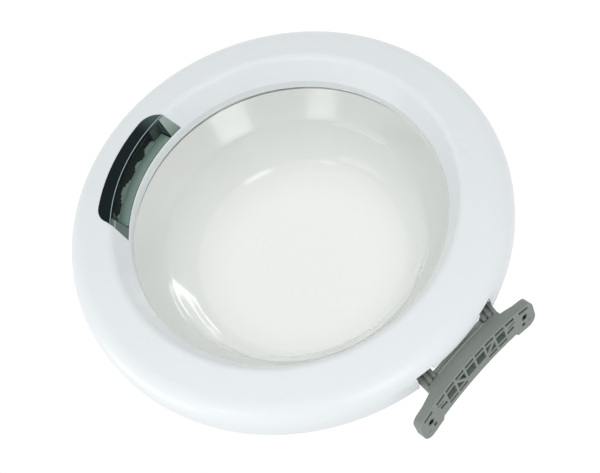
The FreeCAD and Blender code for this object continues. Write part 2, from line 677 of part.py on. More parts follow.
def make_handle_grip():
    body = new_body("handle_grip")
    profile = new_sketch(body, "XY_Plane")
    draw_path(profile, [
        ("grip_face_inner", "-grip_under"),
        ("grip_face_inner", "-grip_sill"),
        ("crest_radius", "-crest_height", "grip_edge_round"),
        ("grip_face_outer", "-grip_top"),
        ("grip_face_outer", "-grip_floor"),
    ])
    revolve(body, profile, "2 * recess_angle")
    outside = new_sketch(body, "XZ_Plane")
    draw_circle(outside, "0", "0", "ring_radius")
    draw_window(outside, "seat_clear")
    pocket(body, outside, "crest_height")
    recess = new_sketch(body, "XY_Plane")
    draw_path(recess, [
        ("grip_face_inner - wall", "-grip_sill"),
        ("grip_face_inner", "-grip_sill"),
        ("crest_radius + grip_edge_round", "-(grip_floor + grip_wall)"),
        ("crest_radius + grip_edge_round", "-recess_edge"),
        ("grip_face_inner - wall", "-recess_edge"),
    ])
    groove(body, recess, "recess_angle")
    hollow = new_sketch(body, "XY_Plane")
    draw_path(hollow, [
        ("crest_radius", "-(grip_floor + grip_wall)"),
        ("recess_radius", "-(grip_floor + grip_wall)"),
        ("recess_radius", "-recess_top"),
        ("crest_radius", "-recess_edge"),
    ])
    groove(body, hollow, "recess_outer_angle")
    rim = new_sketch(body, "XY_Plane")
    draw_path(rim, [
        ("grip_face_outer - grip_wall / 2", "-rim_top"),
        ("grip_outer + rim_reach", "-rim_top"),
        ("grip_outer + rim_reach", "-(rim_top - rim_wall)"),
        ("grip_face_outer - grip_wall / 2", "-(rim_top - rim_wall)"),
    ])
    revolve(body, rim, "rim_angle")
    at_grip(body)
    return body


def make_latch_holder():
    body = new_body("latch_holder")
    profile = new_sketch(body, "XY_Plane")
    draw_box(profile, "holder_inner", "holder_outer", "-(holder_top - seat_clear)", "-holder_foot")
    revolve(body, profile, "holder_angle")
    gaps = new_sketch(body, "XZ_Plane", "holder_foot")
    for number in range(-3, 3):
        middle = f"({number} * tooth_pitch + tooth_pitch / 2)"
        draw_box(gaps, "holder_inner - holder_half_width", "holder_outer + wall",
                 f"{middle} - tooth_gap / 2", f"{middle} + tooth_gap / 2")
    pocket(body, gaps, "tooth_height")
    base = new_sketch(body, "XZ_Plane", "holder_foot")
    draw_box(base, "holder_inner", "latch_radius + cheek_half_depth + holder_edge",
             "-holder_half_width", "holder_half_width")
    pad(body, base, "holder_wall")
    cheeks = new_sketch(body, "XZ_Plane", "holder_foot")
    for low, high in (("cheek_inner", "cheek_outer"), ("-cheek_outer", "-cheek_inner")):
        draw_box(cheeks, "latch_radius - cheek_half_depth", "latch_radius + cheek_half_depth", low, high)
    pad(body, cheeks, "latch_height + cheek_half_depth - holder_foot")
    slot = new_sketch(body, "XZ_Plane", "holder_foot")
    draw_box(slot, "latch_radius - cheek_half_depth", "latch_radius + cheek_half_depth",
             "-cheek_inner", "cheek_inner")
    pocket(body, slot, "holder_wall")
    bore = new_sketch(body, "XY_Plane")
    draw_circle(bore, "latch_radius", "-latch_height", "latch_hole")
    pocket(body, bore, "4 * cheek_outer", symmetric=True)
    pocket(body, draw_circles(body, "holder_foot", latch_screw_places(), "shank_hole"), "holder_wall")
    at_grip(body)
    return body


def make_latch_hook():
    body = new_body("latch_hook")
    profile = new_sketch(body, "XY_Plane")
    inner = "(latch_radius - hook_shank / 2)"
    outer = "(latch_radius + hook_shank / 2)"
    draw_path(profile, [
        (inner, "-latch_height"),
        (outer, "-latch_height"),
        (outer, "hook_catch"),
        (outer + " + hook_barb", "hook_catch"),
        (outer + " + hook_barb", "hook_catch + holder_wall"),
        (outer, "hook_reach"),
        (inner + " + hook_shank / 3", "hook_reach"),
        (inner, "hook_reach - hook_shank"),
    ])
    pad(body, profile, "2 * hook_half_width", symmetric=True)
    eye = new_sketch(body, "XY_Plane", "-(cheek_inner - hook_side_gap)")
    draw_circle(eye, "latch_radius", "-latch_height", "hook_eye")
    pad(body, eye, "cheek_inner - hook_side_gap + hook_half_width")
    bore = new_sketch(body, "XY_Plane")
    draw_circle(bore, "latch_radius", "-latch_height", "latch_pin_radius + run_clear")
    pocket(body, bore, "4 * cheek_outer", symmetric=True)
    at_grip(body)
    return body


def add_rod(body, x, y, low, high, radius):
    """Raise a round rod along Z between two places."""
    sketch = new_sketch(body, "XY_Plane", low)
    draw_circle(sketch, x, y, radius)
    pad(body, sketch, f"({high}) - ({low})")


def add_tube(body, x, y, low, high, outer, bore):
    """Raise a tube along Z between two places."""
    sketch = new_sketch(body, "XY_Plane", low)
    draw_circle(sketch, x, y, outer)
    draw_circle(sketch, x, y, bore)
    pad(body, sketch, f"({high}) - ({low})")


def make_latch_pin():
    body = new_body("latch_pin")
    end = "(cheek_outer + pin_overhang)"
    add_rod(body, "latch_radius", "-latch_height", "-" + end, end, "latch_pin_radius")
    at_grip(body)
    return body


def make_latch_pin_clips():
    body = new_body("latch_pin_clips")
    body.AllowCompound = True
    near = "(cheek_outer + press_clear)"
    far = "(cheek_outer + press_clear + clip_wall)"
    for low, high in ((near, far), ("-" + far, "-" + near)):
        add_tube(body, "latch_radius", "-latch_height", low, high, "clip_radius", "latch_hole")
    at_grip(body)
    return body


def make_latch_spring():
    """Coil the spring about its own Z axis, with a leg along each end's tangent, and set it on the pin."""
    body = new_body("latch_spring")
    coil = new_sketch(body, "XZ_Plane")
    draw_circle(coil, "spring_radius", "0", "wire_radius")
    helix = body.newObject("PartDesign::AdditiveHelix", "Helix")
    helix.Profile = coil
    helix.ReferenceAxis = (coil, ["V_Axis"])
    helix.Mode = "pitch-turns-angle"
    helix.setExpression("Pitch", bound("spring_pitch"))
    helix.setExpression("Turns", bound("spring_turns"))
    doc.recompute()
    legs = ((1, "0"), (-1, "spring_pitch * spring_turns"))
    for way, level in legs:
        leg = new_sketch(body, "XZ_Plane")
        draw_circle(leg, "spring_radius", level, "wire_radius")
        feature = pad(body, leg, "spring_leg")
        feature.Reversed = way < 0
    doc.recompute()
    body.setExpression("Placement", bound(
        "placement(vector(0; 0; 0); vector(0; 1; 0); -grip_angle)"
        " * placement(vector(latch_radius; -latch_height; spring_start); vector(0; 0; 1); 0)"))
    return body


def make_screws(label, places, seat, turn):
    """Make a set of screws whose heads bear on a back face at the seat height."""
    body = new_body(label)
    body.AllowCompound = True
    head_foot = f"{seat} - head_height"
    pad(body, draw_circles(body, head_foot, places, "head_radius"), "head_height")
    pad(body, draw_circles(body, seat, places, "screw_radius"), "screw_grip")
    turn(body)
    return body


def stay(piece):
    """Leave a piece where it was drawn."""
    return piece


def make_hinge_carrier():
    body = new_body("hinge_carrier")
    plate = new_sketch(body, "XY_Plane")
    draw_box(plate, "carrier_inner", "carrier_outer", "-carrier_base", "-carrier_foot")
    pad(body, plate, "2 * carrier_half_length", symmetric=True)
    notches = new_sketch(body, "XZ_Plane", "carrier_foot")
    for side in ("", "-"):
        draw_box(notches, "carrier_outer - carrier_notch", "carrier_outer + carrier_notch",
                 f"{side}(arm_start - arm_side_gap)", f"{side}(arm_end + arm_side_gap)")
    pocket(body, notches, "carrier_wall")
    root = "(carrier_outer - knuckle_radius)"
    ears = ((f"ear_start", "inner_ear"), ("ear_end - outer_ear", "outer_ear"))
    features = []
    for start, thickness in ears:
        web = new_sketch(body, "XY_Plane", start)
        draw_path(web, [
            (root, "-carrier_foot"),
            ("carrier_outer", "-carrier_foot"),
            ("hinge_radius + ear_radius * sin(30)", "-(hinge_height - ear_radius * cos(30))"),
            ("hinge_radius - ear_radius * sin(30)", "-(hinge_height + ear_radius * cos(30))"),
            (root, "-(carrier_base + carrier_wall)"),
        ])
        features.append(pad(body, web, thickness))
        eye = new_sketch(body, "XY_Plane", start)
        draw_circle(eye, "hinge_radius", "-hinge_height", "ear_radius")
        features.append(pad(body, eye, thickness))
    mirror(body, features)
    bore = new_sketch(body, "XY_Plane")
    draw_circle(bore, "hinge_radius", "-hinge_height", "ear_hole")
    pocket(body, bore, "3 * ear_end", symmetric=True)
    pocket(body, draw_circles(body, "carrier_foot", carrier_screw_places(), "shank_hole"), "carrier_wall")
    at_hinge(body)
    return body


def make_hinge_pin(label, side):
    """Make one hinge pin; side is +1 for the upper and -1 for the lower."""
    body = new_body(label)
    low, high = ("-ear_end", "-ear_start") if side > 0 else ("ear_start", "ear_end")
    add_rod(body, "hinge_radius", "-hinge_height", low, high, "hinge_pin_radius")
    at_hinge(body)
    return body


def make_hinge_bush(label, side):
    """Make the bush in one arm's knuckle; side is +1 for the upper and -1 for the lower."""
    body = new_body(label)
    low, high = ("-arm_end", "-arm_start") if side > 0 else ("arm_start", "arm_end")
    add_tube(body, "hinge_radius", "-hinge_height", low, high, "bush_radius", "bush_bore")
    at_leaf(body)
    return body


def make_mount_sleeve(label, side):
    """Make the steel sleeve in one mounting hole of the leaf."""
    body = new_body(label)
    sketch = new_sketch(body, "XZ_Plane", "leaf_face")
    place = "-sleeve_place" if side > 0 else "sleeve_place"
    draw_circle(sketch, "sleeve_radius", place, "sleeve_outer")
    draw_circle(sketch, "sleeve_radius", place, "sleeve_bore")
    pad(body, sketch, "foot_thickness")
    at_leaf(body)
    return body


def hinge_edge(place, inset="0"):
    """Radial place of the leaf's hinge-side edge at a place along it, less an inset."""
    return f"(leaf_line - leaf_hinge_round + sqrt(leaf_hinge_round ^ 2 - ({place}) ^ 2) - ({inset}))"


def free_edge(place, inset="0"):
    """Radial place of the leaf's free edge at a place along it, plus an inset."""
    return f"(leaf_free - leaf_free_round + sqrt(leaf_free_round ^ 2 - ({place}) ^ 2) + ({inset}))"


SLOT_FAR = "leaf_wall + leaf_slot"
MIDDLE_NEAR = "leaf_wall + leaf_slot + leaf_rib"
THIN_FAR = "leaf_free_wall + leaf_thin_slot"
MIDDLE_FAR = "leaf_free_wall + leaf_thin_slot + leaf_rib"


def draw_leaf_cell(sketch, number):
    """Draw the pockets between two cross ribs: a slot along the hinge side, and what lies beside it."""
    low = f"({number} * leaf_cell + leaf_rib / 2)"
    high = f"({number + 1} * leaf_cell - leaf_rib / 2)"
    draw_path(sketch, [
        (hinge_edge(low, SLOT_FAR), low),
        (hinge_edge(low, "leaf_wall"), low),
        (hinge_edge(high, "leaf_wall"), high),
        (hinge_edge(high, SLOT_FAR), high),
    ])
    low_near = (hinge_edge(low, MIDDLE_NEAR), low)
    low_far = (free_edge(low, MIDDLE_FAR), low)
    high_near = (hinge_edge(high, MIDDLE_NEAR), high)
    high_far = (free_edge(high, MIDDLE_FAR), high)
    if number == 1:
        draw_path(sketch, [(f"{low_far[0]} + leaf_rib", low), low_near, (high_near[0], f"{high} - leaf_rib")])
        draw_path(sketch, [(low_far[0], f"{low} + leaf_rib"), (f"{high_near[0]} - leaf_rib", high), high_far])
    elif number == 3:
        split = f"({low_near[0]} + {low_far[0]}) / 2"
        draw_box(sketch, f"{split} + leaf_rib / 2", high_near[0], f"{low} + leaf_rib", high)
        draw_box(sketch, f"{split} - leaf_rib / 2 - leaf_slot", f"{split} - leaf_rib / 2", low, f"{high} - leaf_rib")
    else:
        draw_path(sketch, [low_far, low_near, high_near, high_far])
    if number in (1, 2):
        draw_path(sketch, [
            (free_edge(low, "leaf_free_wall"), low),
            (free_edge(low, THIN_FAR), low),
            (free_edge(high, THIN_FAR), high),
            (free_edge(high, "leaf_free_wall"), high),
        ])


def draw_leaf_foot(sketch):
    """Draw the small pockets of a foot, round its mounting hole."""
    low = "(foot_start - leaf_rib)"
    middle = "(sleeve_place - leaf_rib / 2)"
    high = "(sleeve_place + sleeve_outer + leaf_rib)"
    draw_path(sketch, [
        (hinge_edge(low, SLOT_FAR), low),
        (hinge_edge(low, "leaf_wall"), low),
        (hinge_edge(high, "leaf_wall"), high),
        (hinge_edge(high, "leaf_wall + leaf_thin_slot"), high),
    ])
    draw_path(sketch, [
        (free_edge(low, "leaf_wall"), low),
        (free_edge(low, SLOT_FAR), low),
        (free_edge(middle, THIN_FAR), middle),
        (free_edge(middle, "leaf_wall"), middle),
    ])
    draw_path(sketch, [
        (free_edge(high, "leaf_wall + leaf_rib"), f"{middle} + leaf_rib"),
        (free_edge(high, SLOT_FAR), high),
        (free_edge(high, "leaf_wall + leaf_rib"), high),
    ])


def thin_leaf_feet(body):
    """Slope the leaf's back down to its feet at both ends."""
    sketch = new_sketch(body, "YZ_Plane")
    end = "leaf_half_length + leaf_wall"
    foot = "-(leaf_face + foot_thickness)"
    draw_path(sketch, [
        ("-leaf_back", "foot_start - foot_slope"),
        (foot, "foot_start"),
        (foot, end),
        ("-(leaf_back + leaf_wall)", end),
        ("-(leaf_back + leaf_wall)", "foot_start - foot_slope"),
    ])
    mirror(body, [pocket(body, sketch, "ring_radius")])


def add_ridge(body):
    """Raise a ridge along the hinge-side edge, and the web that joins the arms behind it."""
    ridge = new_sketch(body, "XZ_Plane", "leaf_back - leaf_wall")
    end = "arm_end"
    draw_path(ridge, [
        (hinge_edge(end, "ridge_wall"), "-" + end, "leaf_hinge_round - ridge_wall", "right"),
        (hinge_edge(end), "-" + end),
        (hinge_edge(end), end, "leaf_hinge_round", "left"),
        (hinge_edge(end, "ridge_wall"), end),
    ])
    pad(body, ridge, "ridge_rise + leaf_wall")
    web = new_sketch(body, "XY_Plane")
    top = "-(carrier_foot - web_gap)"
    foot = "-(leaf_back - leaf_wall)"
    draw_path(web, [
        ("leaf_line - web_foot - web_wall", foot),
        ("leaf_line - web_foot", foot),
        ("leaf_line - web_top", top),
        ("leaf_line - web_top - web_wall", top),
    ])
    pad(body, web, "2 * arm_start", symmetric=True)


def make_hinge_leaf():
    body = new_body("hinge_leaf")
    outline = new_sketch(body, "XZ_Plane", "leaf_face")
    end = "leaf_half_length"
    flare = "(foot_start - foot_slope / 2)"
    draw_path(outline, [
        (free_edge(flare), "-" + flare, "leaf_free_round", "right"),
        (free_edge(flare, "-foot_step"), f"-({flare} + foot_step / 2)"),
        (free_edge(end, "-foot_step"), "-" + end),
        (hinge_edge(end), "-" + end),
        (hinge_edge(end), end, "leaf_hinge_round", "left"),
        (free_edge(end, "-foot_step"), end),
        (free_edge(flare, "-foot_step"), f"{flare} + foot_step / 2"),
        (free_edge(flare), flare),
    ])
    pad(body, outline, "leaf_thickness")
    round_leaf_ends(body)
    thin_leaf_feet(body)
    add_ridge(body)
    pockets = new_sketch(body, "XZ_Plane", "leaf_face")
    for number in range(4):
        draw_leaf_cell(pockets, number)
    deep = pocket(body, pockets, "leaf_pocket")
    feet = new_sketch(body, "XZ_Plane", "leaf_face")
    draw_leaf_foot(feet)
    mirror(body, [deep, pocket(body, feet, "foot_thickness - leaf_wall")])
    arm = new_sketch(body, "XY_Plane", "arm_start")
    lean = "(knuckle_radius * 0.7)"
    root = "(-leaf_back + leaf_thickness / 2)"
    near = hinge_edge("arm_end", "ridge_wall")
    far = hinge_edge("arm_end", "ridge_wall + arm_depth")
    draw_path(arm, [
        (f"hinge_radius - {lean}", f"-(hinge_height + {lean})"),
        (far, "-leaf_back"),
        (far, root),
        (near, root),
        (near, "-leaf_back"),
        (f"hinge_radius + {lean}", f"-(hinge_height - {lean})"),
    ])
    web = pad(body, arm, "arm_width")
    barrel = new_sketch(body, "XY_Plane", "arm_start")
    draw_circle(barrel, "hinge_radius", "-hinge_height", "knuckle_radius")
    knuckle = pad(body, barrel, "arm_width")
    mirror(body, [web, knuckle])
    mirror(body, [cut_arm_slot(body, number) for number in range(2)])
    bore = new_sketch(body, "XY_Plane")
    draw_circle(bore, "hinge_radius", "-hinge_height", "knuckle_bore")
    pocket(body, bore, "3 * ear_end", symmetric=True)
    holes = [("sleeve_radius", "sleeve_place"), ("sleeve_radius", "-sleeve_place")]
    pocket(body, draw_circles(body, "leaf_face", holes, "sleeve_outer + press_clear"), "leaf_thickness")
    at_leaf(body)
    return body


def cut_arm_slot(body, number):
    """Cut one of the slots that leave fins on an arm, below its knuckle."""
    slot = new_sketch(body, "XY_Plane", f"arm_start + arm_fin + {number} * (arm_fin + arm_slot)")
    top = "-(hinge_height - knuckle_radius - arm_slot / 2)"
    low = "-(leaf_back + ridge_rise)"
    outside = "hinge_radius + 3 * knuckle_radius"
    draw_path(slot, [
        ("hinge_radius - 2 * arm_slot", top),
        (outside, top),
        (outside, low),
        (hinge_edge("arm_end", "arm_slot / 2"), low),
    ])
    return pocket(body, slot, "arm_slot")


def round_leaf_ends(body):
    reach = value("leaf_half_length")
    names = []
    for number, edge in enumerate(body.Shape.Edges, start=1):
        ends = [vertex.Point for vertex in edge.Vertexes]
        across = abs(ends[0].y - ends[-1].y)
        if across > value("leaf_wall") and all(abs(abs(end.z) - reach) < 0.01 for end in ends):
            names.append(f"Edge{number}")
    return round_edges(body, names, "leaf_end_round")


subparts = [
    make_front_ring(),
    make_rear_ring(),
    make_glass_bowl(),
    make_handle_grip(),
    make_latch_holder(),
    make_latch_hook(),
    make_latch_pin(),
    make_latch_pin_clips(),
    make_latch_spring(),
    make_hinge_carrier(),
    make_hinge_pin("hinge_pin_upper", 1),
    make_hinge_pin("hinge_pin_lower", -1),
    make_hinge_bush("hinge_bush_upper", 1),
    make_hinge_bush("hinge_bush_lower", -1),
    make_mount_sleeve("mount_sleeve_upper", 1),
    make_mount_sleeve("mount_sleeve_lower", -1),
    make_hinge_leaf(),
    make_screws("rear_ring_screws", rear_screw_places(), "plate_back", stay),
    make_screws("hinge_carrier_screws", carrier_screw_places(), "carrier_foot", at_hinge),
    make_screws("latch_holder_screws", latch_screw_places(), "holder_foot", at_grip),
]
doc.recompute()

for piece in doc.Objects:
    if "Invalid" in piece.State or "Error" in piece.State:
        raise ValueError(f"{piece.Label} is {piece.State}")
for piece in subparts:
    if piece.Shape.isNull() or not piece.Shape.isValid():
        raise ValueError(f"{piece.Label} has no valid shape")

os.makedirs("parts", exist_ok=True)
for piece in subparts:
    piece.Shape.exportStep(f"parts/{piece.Label}.step")
    print(piece.Label, len(piece.Shape.Solids), "solids", round(piece.Shape.Volume), "mm3")
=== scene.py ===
"""Looks of a front-loader washing machine door. Metres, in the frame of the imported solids."""
import math

import bmesh
import bpy
from mathutils import Matrix, Vector


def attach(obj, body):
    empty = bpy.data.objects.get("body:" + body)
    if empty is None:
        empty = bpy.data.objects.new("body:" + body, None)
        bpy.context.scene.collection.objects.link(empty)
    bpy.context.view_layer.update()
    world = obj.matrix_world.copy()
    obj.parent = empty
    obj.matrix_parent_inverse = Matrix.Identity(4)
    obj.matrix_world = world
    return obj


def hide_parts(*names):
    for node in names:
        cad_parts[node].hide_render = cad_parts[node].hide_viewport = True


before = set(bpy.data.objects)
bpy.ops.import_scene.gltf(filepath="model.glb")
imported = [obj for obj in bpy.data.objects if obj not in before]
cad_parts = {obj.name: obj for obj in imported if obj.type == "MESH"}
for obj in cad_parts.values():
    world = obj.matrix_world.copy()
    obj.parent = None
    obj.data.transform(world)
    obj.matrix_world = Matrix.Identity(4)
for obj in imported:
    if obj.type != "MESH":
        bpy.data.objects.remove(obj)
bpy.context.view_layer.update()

MM = 0.001

# Ring, in mm: a profile point is a distance from the axis and a height in front of the ring's back edge

RING_RADIUS = 225.0
RING_WALL = 2.8
OPENING_RADIUS = 162.5
SHOULDER = (RING_RADIUS, 31.3)
CREST = (175.5, 41.2)
LIP = (OPENING_RADIUS, 14.0)
SHOULDER_ROUND = 26.0
CREST_ROUND = 7.0
LIP_ROUND = 1.0
SEAT_HEIGHT = 5.5

# Notches for the hinge arms and the relief between them, in mm along X and Z

NOTCH_NEAR = 32.7
NOTCH_FAR = 51.3
NOTCH_END = -199.5
NOTCH_HEIGHT = 19.5
RELIEF_END = -213.0
RELIEF_HEIGHT = 16.5

# How far the cutting shapes run past the door, in mm

PAST_RING = -230.0
BEHIND_RING = -5.0
BEFORE_RING = 60.0

# Glass bowl, in mm

BOWL_DEPTH = 95.0
GLASS_WALL = 5.0
HEEL = (118.0, -84.0)
HEEL_ROUND = 28.0
THROAT = (136.0, -25.0)
THROAT_ROUND = 24.0
THROAT_DROP = 2.5
MOUTH_RADIUS = 161.0
MOUTH_ROUND = 4.0
FLANGE_RADIUS = 169.0
FLANGE_UNDERSIDE = 1.5
FLANGE_START = 163.5
GROUND_START = 161.2

# Grip and its window in the ring, in mm and radians

GRIP_ANGLE = math.radians(23.3)
GRIP_SPAN = math.radians(40.05)
GRIP_GAP = 0.3
GRIP_WALL = 2.4
GRIP_BACK = 11.0
GRIP_CREST_ROUND = 2.5
WINDOW_INNER = 163.7
WINDOW_OUTER = 191.0
WINDOW_HALF = 70.3
WINDOW_CORNER = 20.0
WINDOW_LEAN = math.radians(11.4)
RECESS = math.radians(20.028)
RECESS_START = 161.2
RECESS_OUTER = 178.0
RECESS_FLOOR = 13.4
RECESS_ROOF = 37.576
HOLLOW = math.radians(15.778)

# Painted light and shade on the grip, by place: the colour of its painted highlight lines, the radii of its
# crest and end lines, and where its painted shade starts, in mm

# Colour of the painted highlight lines along the grip's crest and at its ends
PAINTED_HIGHLIGHT = (0.36, 0.42, 0.43)
CREST_LINE = 175.6
END_LINE = 172.4
SHADE_NEAR = 177.0
SHADE_FAR = 182.0


# Outlines and solids

def sample_arc(centre, radius, start, end, count):
    """Points on an arc from one angle to another."""
    angles = [start + (end - start) * step / count for step in range(count + 1)]
    return [(centre[0] + radius * math.cos(a), centre[1] + radius * math.sin(a)) for a in angles]


def rounded(corners, steps):
    """A closed outline through corners (x, y) or (x, y, radius), with the rounds drawn as short lines."""
    points = []
    count = len(corners)
    for index, corner in enumerate(corners):
        here = Vector(corner[:2])
        if len(corner) == 2:
            points.append((here.x, here.y))
            continue
        back = (Vector(corners[index - 1][:2]) - here).normalized()
        ahead = (Vector(corners[(index + 1) % count][:2]) - here).normalized()
        half = back.angle(ahead) / 2
        middle = here + (back + ahead).normalized() * (corner[2] / math.sin(half))
        first = here + back * (corner[2] / math.tan(half)) - middle
        last = here + ahead * (corner[2] / math.tan(half)) - middle
        start = math.atan2(first.y, first.x)
        sweep = math.remainder(math.atan2(last.y, last.x) - start, 2 * math.pi)
        points += sample_arc(middle, corner[2], start, start + sweep, steps)
    return points


def height_on(first, second, radius, depth=0.0):
    """Height at a radius on the line through two profile points, set in square to it by a depth."""
    slope = (second[1] - first[1]) / (second[0] - first[0])
    return first[1] + slope * (radius - first[0]) - depth * math.hypot(1, slope)


def make_object(name, mesh_data):
    mesh = bpy.data.meshes.new(name)
    bmesh.ops.recalc_face_normals(mesh_data, faces=mesh_data.faces)
    mesh_data.to_mesh(mesh)
    mesh_data.free()
    made = bpy.data.objects.new(name, mesh)
    bpy.context.scene.collection.objects.link(made)
    return made


def lathe(name, profile, count, span=None):
    """Turn a closed profile of (radius, height) in mm about the door's axis, all round or over a span."""
    data = bmesh.new()
    first, last = span or (0, 2 * math.pi)
    row_count = count if span is None else count + 1
    rows = []
    for step in range(row_count):
        angle = first + (last - first) * step / count
        rows.append([
            data.verts.new((r * math.cos(angle) * MM, -h * MM, r * math.sin(angle) * MM))
            for r, h in profile
        ])
    size = len(profile)
    for step in range(count):
        here, after = rows[step], rows[(step + 1) % row_count]
        for k in range(size):
            data.faces.new((here[k], after[k], after[(k + 1) % size], here[(k + 1) % size]))
    if span is not None:
        data.faces.new(rows[0])
        data.faces.new(rows[-1])
    bmesh.ops.remove_doubles(data, verts=data.verts, dist=1e-7)
    return make_object(name, data)


def prism(name, outline, low, high):
    """Raise an outline of (x, z) in mm between two heights in front of the door's back plane."""
    data = bmesh.new()
    rows = [[data.verts.new((x * MM, -h * MM, z * MM)) for x, z in outline] for h in (low, high)]
    size = len(outline)
    data.faces.new(rows[0])
    data.faces.new(rows[1])
    for k in range(size):
        after = (k + 1) % size
        data.faces.new((rows[0][k], rows[0][after], rows[1][after], rows[1][k]))
    return make_object(name, data)


def combine(piece, tool, operation):
    """Cut a piece with a tool or keep what both share. The tool is used up."""
    step = piece.modifiers.new("combine", "BOOLEAN")
    step.operation = operation
    step.solver = "EXACT"
    step.object = tool
    bpy.context.view_layer.update()
    graph = bpy.context.evaluated_depsgraph_get()
    result = bpy.data.meshes.new_from_object(piece.evaluated_get(graph))
    old = piece.data
    piece.modifiers.clear()
    piece.data = result
    bpy.data.meshes.remove(old)
    bpy.data.objects.remove(tool)


def turn(piece, angle):
    """Turn a piece about the door's axis, anticlockwise from the front."""
    piece.data.transform(Matrix.Rotation(-angle, 4, "Y"))
    return piece


def smooth(piece, angle=32):
    """Shade a piece smooth, apart from edges sharper than an angle in degrees."""
    mesh = piece.data
    mesh.polygons.foreach_set("use_smooth", [True] * len(mesh.polygons))
    mesh.set_sharp_from_angle(angle=math.radians(angle))
    mesh.update()


# Nodes of materials

def feed(tree, node, inputs):
    """Link each input that is given a socket, and write any other value on the input itself."""
    for name, value in inputs.items():
        if isinstance(value, bpy.types.NodeSocket):
            tree.links.new(value, node.inputs[name])
        else:
            node.inputs[name].default_value = value


def add(tree, kind, inputs=None, **settings):
    """A new node with its settings and its inputs."""
    node = tree.nodes.new(kind)
    for name, value in settings.items():
        setattr(node, name, value)
    feed(tree, node, inputs or {})
    return node


def calculate(tree, operation, first, second):
    """The result of a Math node on two values, each a socket or a number."""
    return add(tree, "ShaderNodeMath", {0: first, 1: second}, operation=operation).outputs[0]


def product(tree, first, second):
    return calculate(tree, "MULTIPLY", first, second)


def near(tree, value, middle, half):
    """1 where a value lies within half a width of its middle, else 0."""
    return add(tree, "ShaderNodeMath", {0: value, 1: middle, 2: half}, operation="COMPARE").outputs[0]


def ramp_between(tree, value, start, end):
    """0 before a start value and 1 after an end value, with a soft change between."""
    limits = {"Value": value, "From Min": start, "From Max": end}
    return add(tree, "ShaderNodeMapRange", limits, interpolation_type="SMOOTHSTEP").outputs["Result"]


def object_place(tree):
    return add(tree, "ShaderNodeTexCoord").outputs["Object"]


def radial(tree):
    """Distance from the door's axis in mm and the angle round it, as sockets of a material."""
    split = add(tree, "ShaderNodeSeparateXYZ", {0: object_place(tree)})
    across, upright = split.outputs["X"], split.outputs["Z"]
    flat = add(tree, "ShaderNodeCombineXYZ", {"X": across, "Y": upright})
    reach = add(tree, "ShaderNodeVectorMath", {0: flat.outputs[0]}, operation="LENGTH")
    return product(tree, reach.outputs["Value"], 1 / MM), calculate(tree, "ARCTAN2", upright, across)


def seen_rays(tree):
    """1 for the camera's rays and for what gloss and glass show, else 0."""
    path = add(tree, "ShaderNodeLightPath")
    shown = calculate(tree, "MAXIMUM", path.outputs["Is Glossy Ray"], path.outputs["Is Transmission Ray"])
    return calculate(tree, "MAXIMUM", path.outputs["Is Camera Ray"], shown)


def blend_base(material, factor, colour):
    """Mix a second colour into a material's base colour."""
    tree = material.node_tree
    base = tree.nodes["Principled BSDF"].inputs["Base Color"]
    colours = {"Factor": factor, "A": base.links[0].from_socket, "B": (*colour, 1)}
    mix = add(tree, "ShaderNodeMix", colours, data_type="RGBA")
    tree.links.new(mix.outputs["Result"], base)


# Materials

def new_material(name):
    material = bpy.data.materials.new(name)
    material.use_nodes = True
    return material, material.node_tree, material.node_tree.nodes["Principled BSDF"]


def surface(name, colour, rough, spread=0.06, grain=900, bump=0.04, tone=0.04, metal=0.0, edge=0.0004):
    """A moulded or plated surface: fine grain, uneven gloss, faint unevenness of tone, and softened edges."""
    material, tree, shader = new_material(name)
    place = object_place(tree)
    fine = add(tree, "ShaderNodeTexNoise", {"Vector": place, "Scale": grain, "Detail": 3})
    broad = add(tree, "ShaderNodeTexNoise", {"Vector": place, "Scale": 14, "Detail": 4}).outputs["Fac"]
    limits = {"Value": broad, "To Min": rough - spread, "To Max": rough + spread}
    gloss = add(tree, "ShaderNodeMapRange", limits)
    ramp = add(tree, "ShaderNodeValToRGB", {"Fac": broad})
    darker, lighter = ramp.color_ramp.elements
    darker.position = 0.3
    lighter.position = 0.7
    darker.color = (*[c * (1 - tone) for c in colour], 1)
    lighter.color = (*[min(1.0, c * (1 + tone)) for c in colour], 1)
    depths = {"Height": fine.outputs["Fac"], "Strength": bump, "Distance": 0.0002}
    relief = add(tree, "ShaderNodeBump", depths)
    if edge:
        soften = add(tree, "ShaderNodeBevel", {"Radius": edge}, samples=4)
        feed(tree, relief, {"Normal": soften.outputs["Normal"]})
    feed(tree, shader, {
        "Base Color": ramp.outputs["Color"],
        "Roughness": gloss.outputs["Result"],
        "Normal": relief.outputs["Normal"],
        "Metallic": metal,
    })
    return material


def pressed_glass():
    """Glass that is clear in the bowl's bottom and painted darker towards the rim as shade seen through its
    walls, faintly wavy.
    """
    material, tree, shader = new_material("pressed_glass")
    place = object_place(tree)
    bottom = (0, BOWL_DEPTH * MM, 0)
    reach = add(tree, "ShaderNodeVectorMath", {0: place, 1: bottom}, operation="DISTANCE")
    # Painted shade: the glass's colour darkens from the bottom towards the rim
    tint_and_shade = add(tree, "ShaderNodeMix", {
        "Factor": ramp_between(tree, reach.outputs["Value"], 0.07, 0.185),
        "A": (0.80, 0.825, 0.795, 1),
        "B": (0.585, 0.61, 0.585, 1),
    }, data_type="RGBA")
    wave = add(tree, "ShaderNodeTexNoise", {"Vector": place, "Scale": 9, "Detail": 1}).outputs["Fac"]
    gloss = add(tree, "ShaderNodeMapRange", {"Value": wave, "To Min": 0.01, "To Max": 0.05})
    relief = add(tree, "ShaderNodeBump", {"Height": wave, "Strength": 0.012, "Distance": 0.002})
    feed(tree, shader, {
        "Base Color": tint_and_shade.outputs["Result"],
        "Roughness": gloss.outputs["Result"],
        "Transmission Weight": 1.0,
        "IOR": 1.005,
        "Coat Weight": 1.0,
        "Coat IOR": 1.5,
        "Coat Roughness": 0.14,
        "Coat Normal": relief.outputs["Normal"],
    })
    return material


